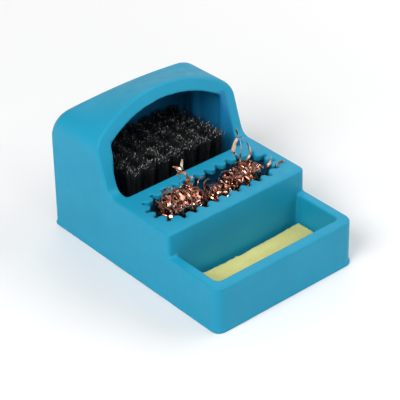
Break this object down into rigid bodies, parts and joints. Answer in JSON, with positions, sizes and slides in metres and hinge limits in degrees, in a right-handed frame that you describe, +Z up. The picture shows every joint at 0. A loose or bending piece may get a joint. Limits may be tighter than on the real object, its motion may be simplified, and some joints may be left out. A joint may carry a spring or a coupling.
{
  "type": "soldering iron station",
  "caption": "Moulded silicone stand that cleans soldering iron tips, with a sponge tray, a scalloped slot of copper wool and a brush under an arched hood.",
  "frame": {"origin": "centre of the footprint, at table level", "axes": "+X to the right and +Z up for someone facing the tray, +Y from the tray towards the hood"},
  "size_m": [0.0706, 0.1, 0.0621],
  "materials": {
    "silicone": "matte",
    "brush_plastic": "satin",
    "bristle": "satin",
    "sponge": "matte",
    "copper": "polished"
  },
  "bodies": {
    "stand": {"housing": "silicone", "brush_base": "brush_plastic", "tuft_r1_c1": "bristle", "tuft_r1_c2": "bristle", "tuft_r1_c3": "bristle", "tuft_r1_c4": "bristle", "tuft_r1_c5": "bristle", "tuft_r1_c6": "bristle", "tuft_r1_c7": "bristle", "tuft_r2_c1": "bristle", "tuft_r2_c2": "bristle", "tuft_r2_c3": "bristle", "tuft_r2_c4": "bristle", "tuft_r2_c5": "bristle", "tuft_r2_c6": "bristle", "tuft_r2_c7": "bristle", "tuft_r3_c1": "bristle", "tuft_r3_c2": "bristle", "tuft_r3_c3": "bristle", "tuft_r3_c4": "bristle", "tuft_r3_c5": "bristle", "tuft_r3_c6": "bristle", "tuft_r3_c7": "bristle", "tuft_r4_c1": "bristle", "tuft_r4_c2": "bristle", "tuft_r4_c3": "bristle", "tuft_r4_c4": "bristle", "tuft_r4_c5": "bristle", "tuft_r4_c6": "bristle", "tuft_r4_c7": "bristle", "tuft_r5_c1": "bristle", "tuft_r5_c2": "bristle", "tuft_r5_c3": "bristle", "tuft_r5_c4": "bristle", "tuft_r5_c5": "bristle", "tuft_r5_c6": "bristle", "tuft_r5_c7": "bristle"},
    "sponge": {"cleaning_sponge": "sponge"},
    "wool": {"copper_wool": "copper"}
  },
  "joints": [
    {"name": "sponge_lift", "type": "slide", "parent": "stand", "child": "sponge", "axis": [0, 0, 1], "range_m": [0, 0.06]},
    {"name": "wool_lift", "type": "slide", "parent": "stand", "child": "wool", "axis": [0, 0, 1], "range_m": [0, 0.06]}
  ]
}
